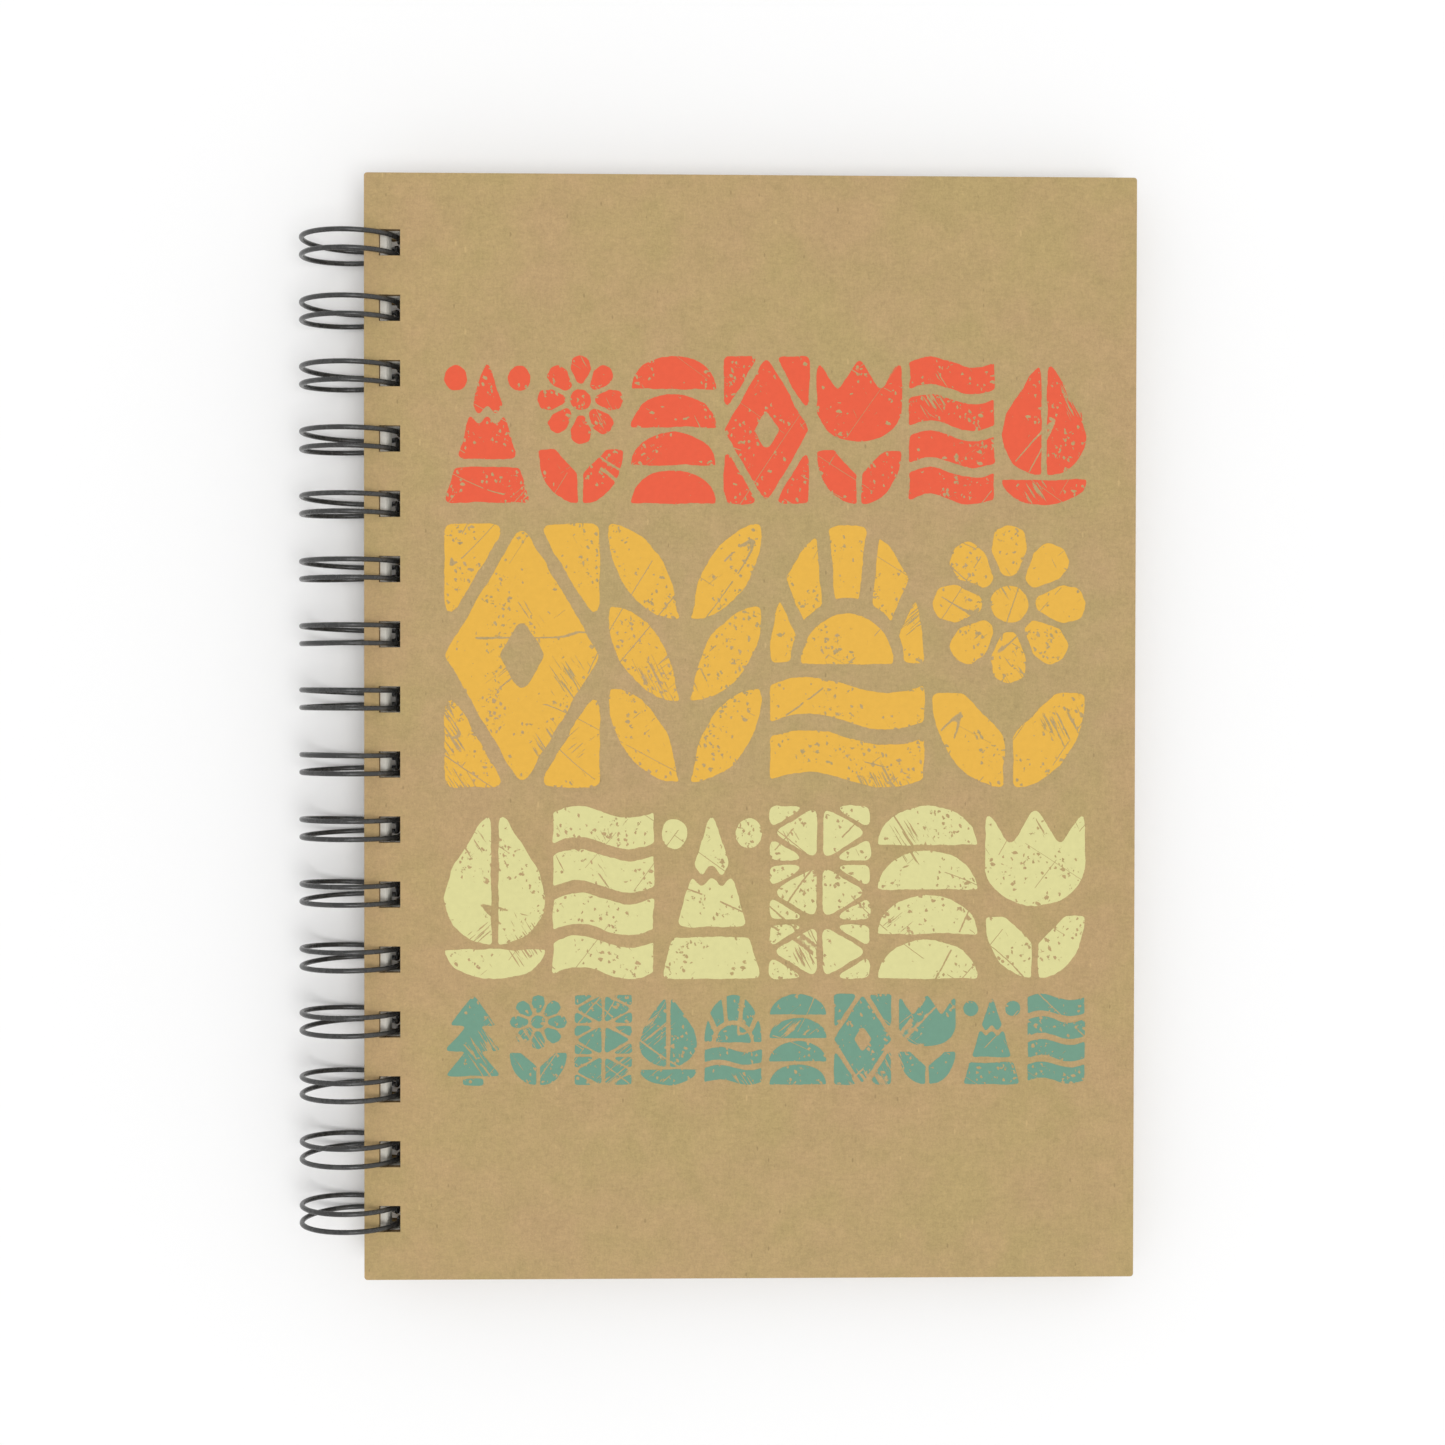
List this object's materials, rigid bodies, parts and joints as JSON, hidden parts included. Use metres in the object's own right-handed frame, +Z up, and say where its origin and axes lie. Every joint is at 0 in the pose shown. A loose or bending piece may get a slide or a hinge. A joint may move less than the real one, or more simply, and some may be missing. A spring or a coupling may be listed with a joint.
{
  "type": "wire-bound sketchbook",
  "caption": "Sketchbook of loose drawing leaves between stiff kraft covers, bound along the long edge by a black twin-loop wire, lying closed.",
  "frame": {"origin": "middle of the footprint on the table, under the closed book as it rests on its loops and its back cover's fore edge", "axes": "+Z up, out of the front cover; +Y to the head of the book; +X from the wire to the fore edge"},
  "size_m": [0.1646, 0.216, 0.0202],
  "materials": {
    "kraft_facing": "matte",
    "board_core": "matte",
    "cover_lining": "matte",
    "leaf_paper": "matte",
    "coated_wire": "satin"
  },
  "bodies": {
    "back_cover": {"back_cover_facing": "kraft_facing", "back_cover_board": "board_core", "back_cover_lining": "cover_lining", "twin_loop_wire": "coated_wire"},
    "sheet_40": {"sheet_40": "leaf_paper"},
    "sheet_39": {"sheet_39": "leaf_paper"},
    "sheet_38": {"sheet_38": "leaf_paper"},
    "sheet_37": {"sheet_37": "leaf_paper"},
    "sheet_36": {"sheet_36": "leaf_paper"},
    "sheet_35": {"sheet_35": "leaf_paper"},
    "sheet_34": {"sheet_34": "leaf_paper"},
    "sheet_33": {"sheet_33": "leaf_paper"},
    "sheet_32": {"sheet_32": "leaf_paper"},
    "sheet_31": {"sheet_31": "leaf_paper"},
    "sheet_30": {"sheet_30": "leaf_paper"},
    "sheet_29": {"sheet_29": "leaf_paper"},
    "sheet_28": {"sheet_28": "leaf_paper"},
    "sheet_27": {"sheet_27": "leaf_paper"},
    "sheet_26": {"sheet_26": "leaf_paper"},
    "sheet_25": {"sheet_25": "leaf_paper"},
    "sheet_24": {"sheet_24": "leaf_paper"},
    "sheet_23": {"sheet_23": "leaf_paper"},
    "sheet_22": {"sheet_22": "leaf_paper"},
    "sheet_21": {"sheet_21": "leaf_paper"},
    "sheet_20": {"sheet_20": "leaf_paper"},
    "sheet_19": {"sheet_19": "leaf_paper"},
    "sheet_18": {"sheet_18": "leaf_paper"},
    "sheet_17": {"sheet_17": "leaf_paper"},
    "sheet_16": {"sheet_16": "leaf_paper"},
    "sheet_15": {"sheet_15": "leaf_paper"},
    "sheet_14": {"sheet_14": "leaf_paper"},
    "sheet_13": {"sheet_13": "leaf_paper"},
    "sheet_12": {"sheet_12": "leaf_paper"},
    "sheet_11": {"sheet_11": "leaf_paper"},
    "sheet_10": {"sheet_10": "leaf_paper"},
    "sheet_09": {"sheet_09": "leaf_paper"},
    "sheet_08": {"sheet_08": "leaf_paper"},
    "sheet_07": {"sheet_07": "leaf_paper"},
    "sheet_06": {"sheet_06": "leaf_paper"},
    "sheet_05": {"sheet_05": "leaf_paper"},
    "sheet_04": {"sheet_04": "leaf_paper"},
    "sheet_03": {"sheet_03": "leaf_paper"},
    "sheet_02": {"sheet_02": "leaf_paper"},
    "sheet_01": {"sheet_01": "leaf_paper"},
    "front_cover": {"front_cover_facing": "kraft_facing", "front_cover_board": "board_core", "front_cover_lining": "cover_lining"}
  },
  "joints": [
    {"name": "front_cover_turn", "type": "hinge", "parent": "sheet_01", "child": "front_cover", "pos_m": [-0.07221, 0, 0.0101], "axis": [0, -1, 0], "range_deg": [0, 183.5]},
    {"name": "sheet_01_turn", "type": "hinge", "parent": "sheet_02", "child": "sheet_01", "pos_m": [-0.07221, 0, 0.0101], "axis": [0, -1, 0], "range_deg": [0, 180]},
    {"name": "sheet_02_turn", "type": "hinge", "parent": "sheet_03", "child": "sheet_02", "pos_m": [-0.07221, 0, 0.0101], "axis": [0, -1, 0], "range_deg": [0, 180]},
    {"name": "sheet_03_turn", "type": "hinge", "parent": "sheet_04", "child": "sheet_03", "pos_m": [-0.07221, 0, 0.0101], "axis": [0, -1, 0], "range_deg": [0, 180]},
    {"name": "sheet_04_turn", "type": "hinge", "parent": "sheet_05", "child": "sheet_04", "pos_m": [-0.07221, 0, 0.0101], "axis": [0, -1, 0], "range_deg": [0, 180]},
    {"name": "sheet_05_turn", "type": "hinge", "parent": "sheet_06", "child": "sheet_05", "pos_m": [-0.07221, 0, 0.0101], "axis": [0, -1, 0], "range_deg": [0, 180]},
    {"name": "sheet_06_turn", "type": "hinge", "parent": "sheet_07", "child": "sheet_06", "pos_m": [-0.07221, 0, 0.0101], "axis": [0, -1, 0], "range_deg": [0, 180]},
    {"name": "sheet_07_turn", "type": "hinge", "parent": "sheet_08", "child": "sheet_07", "pos_m": [-0.07221, 0, 0.0101], "axis": [0, -1, 0], "range_deg": [0, 180]},
    {"name": "sheet_08_turn", "type": "hinge", "parent": "sheet_09", "child": "sheet_08", "pos_m": [-0.07221, 0, 0.0101], "axis": [0, -1, 0], "range_deg": [0, 180]},
    {"name": "sheet_09_turn", "type": "hinge", "parent": "sheet_10", "child": "sheet_09", "pos_m": [-0.07221, 0, 0.0101], "axis": [0, -1, 0], "range_deg": [0, 180]},
    {"name": "sheet_10_turn", "type": "hinge", "parent": "sheet_11", "child": "sheet_10", "pos_m": [-0.07221, 0, 0.0101], "axis": [0, -1, 0], "range_deg": [0, 180]},
    {"name": "sheet_11_turn", "type": "hinge", "parent": "sheet_12", "child": "sheet_11", "pos_m": [-0.07221, 0, 0.0101], "axis": [0, -1, 0], "range_deg": [0, 180]},
    {"name": "sheet_12_turn", "type": "hinge", "parent": "sheet_13", "child": "sheet_12", "pos_m": [-0.07221, 0, 0.0101], "axis": [0, -1, 0], "range_deg": [0, 180]},
    {"name": "sheet_13_turn", "type": "hinge", "parent": "sheet_14", "child": "sheet_13", "pos_m": [-0.07221, 0, 0.0101], "axis": [0, -1, 0], "range_deg": [0, 180]},
    {"name": "sheet_14_turn", "type": "hinge", "parent": "sheet_15", "child": "sheet_14", "pos_m": [-0.07221, 0, 0.0101], "axis": [0, -1, 0], "range_deg": [0, 180]},
    {"name": "sheet_15_turn", "type": "hinge", "parent": "sheet_16", "child": "sheet_15", "pos_m": [-0.07221, 0, 0.0101], "axis": [0, -1, 0], "range_deg": [0, 180]},
    {"name": "sheet_16_turn", "type": "hinge", "parent": "sheet_17", "child": "sheet_16", "pos_m": [-0.07221, 0, 0.0101], "axis": [0, -1, 0], "range_deg": [0, 180]},
    {"name": "sheet_17_turn", "type": "hinge", "parent": "sheet_18", "child": "sheet_17", "pos_m": [-0.07221, 0, 0.0101], "axis": [0, -1, 0], "range_deg": [0, 180]},
    {"name": "sheet_18_turn", "type": "hinge", "parent": "sheet_19", "child": "sheet_18", "pos_m": [-0.07221, 0, 0.0101], "axis": [0, -1, 0], "range_deg": [0, 180]},
    {"name": "sheet_19_turn", "type": "hinge", "parent": "sheet_20", "child": "sheet_19", "pos_m": [-0.07221, 0, 0.0101], "axis": [0, -1, 0], "range_deg": [0, 180]},
    {"name": "sheet_20_turn", "type": "hinge", "parent": "sheet_21", "child": "sheet_20", "pos_m": [-0.07221, 0, 0.0101], "axis": [0, -1, 0], "range_deg": [0, 180]},
    {"name": "sheet_21_turn", "type": "hinge", "parent": "sheet_22", "child": "sheet_21", "pos_m": [-0.07221, 0, 0.0101], "axis": [0, -1, 0], "range_deg": [0, 180]},
    {"name": "sheet_22_turn", "type": "hinge", "parent": "sheet_23", "child": "sheet_22", "pos_m": [-0.07221, 0, 0.0101], "axis": [0, -1, 0], "range_deg": [0, 180]},
    {"name": "sheet_23_turn", "type": "hinge", "parent": "sheet_24", "child": "sheet_23", "pos_m": [-0.07221, 0, 0.0101], "axis": [0, -1, 0], "range_deg": [0, 180]},
    {"name": "sheet_24_turn", "type": "hinge", "parent": "sheet_25", "child": "sheet_24", "pos_m": [-0.07221, 0, 0.0101], "axis": [0, -1, 0], "range_deg": [0, 180]},
    {"name": "sheet_25_turn", "type": "hinge", "parent": "sheet_26", "child": "sheet_25", "pos_m": [-0.07221, 0, 0.0101], "axis": [0, -1, 0], "range_deg": [0, 180]},
    {"name": "sheet_26_turn", "type": "hinge", "parent": "sheet_27", "child": "sheet_26", "pos_m": [-0.07221, 0, 0.0101], "axis": [0, -1, 0], "range_deg": [0, 180]},
    {"name": "sheet_27_turn", "type": "hinge", "parent": "sheet_28", "child": "sheet_27", "pos_m": [-0.07221, 0, 0.0101], "axis": [0, -1, 0], "range_deg": [0, 180]},
    {"name": "sheet_28_turn", "type": "hinge", "parent": "sheet_29", "child": "sheet_28", "pos_m": [-0.07221, 0, 0.0101], "axis": [0, -1, 0], "range_deg": [0, 180]},
    {"name": "sheet_29_turn", "type": "hinge", "parent": "sheet_30", "child": "sheet_29", "pos_m": [-0.07221, 0, 0.0101], "axis": [0, -1, 0], "range_deg": [0, 180]},
    {"name": "sheet_30_turn", "type": "hinge", "parent": "sheet_31", "child": "sheet_30", "pos_m": [-0.07221, 0, 0.0101], "axis": [0, -1, 0], "range_deg": [0, 180]},
    {"name": "sheet_31_turn", "type": "hinge", "parent": "sheet_32", "child": "sheet_31", "pos_m": [-0.07221, 0, 0.0101], "axis": [0, -1, 0], "range_deg": [0, 180]},
    {"name": "sheet_32_turn", "type": "hinge", "parent": "sheet_33", "child": "sheet_32", "pos_m": [-0.07221, 0, 0.0101], "axis": [0, -1, 0], "range_deg": [0, 180]},
    {"name": "sheet_33_turn", "type": "hinge", "parent": "sheet_34", "child": "sheet_33", "pos_m": [-0.07221, 0, 0.0101], "axis": [0, -1, 0], "range_deg": [0, 180]},
    {"name": "sheet_34_turn", "type": "hinge", "parent": "sheet_35", "child": "sheet_34", "pos_m": [-0.07221, 0, 0.0101], "axis": [0, -1, 0], "range_deg": [0, 180]},
    {"name": "sheet_35_turn", "type": "hinge", "parent": "sheet_36", "child": "sheet_35", "pos_m": [-0.07221, 0, 0.0101], "axis": [0, -1, 0], "range_deg": [0, 180]},
    {"name": "sheet_36_turn", "type": "hinge", "parent": "sheet_37", "child": "sheet_36", "pos_m": [-0.07221, 0, 0.0101], "axis": [0, -1, 0], "range_deg": [0, 180]},
    {"name": "sheet_37_turn", "type": "hinge", "parent": "sheet_38", "child": "sheet_37", "pos_m": [-0.07221, 0, 0.0101], "axis": [0, -1, 0], "range_deg": [0, 180]},
    {"name": "sheet_38_turn", "type": "hinge", "parent": "sheet_39", "child": "sheet_38", "pos_m": [-0.07221, 0, 0.0101], "axis": [0, -1, 0], "range_deg": [0, 180]},
    {"name": "sheet_39_turn", "type": "hinge", "parent": "sheet_40", "child": "sheet_39", "pos_m": [-0.07221, 0, 0.0101], "axis": [0, -1, 0], "range_deg": [0, 180]},
    {"name": "sheet_40_turn", "type": "hinge", "parent": "back_cover", "child": "sheet_40", "pos_m": [-0.07221, 0, 0.0101], "axis": [0, -1, 0], "range_deg": [0, 180]}
  ]
}
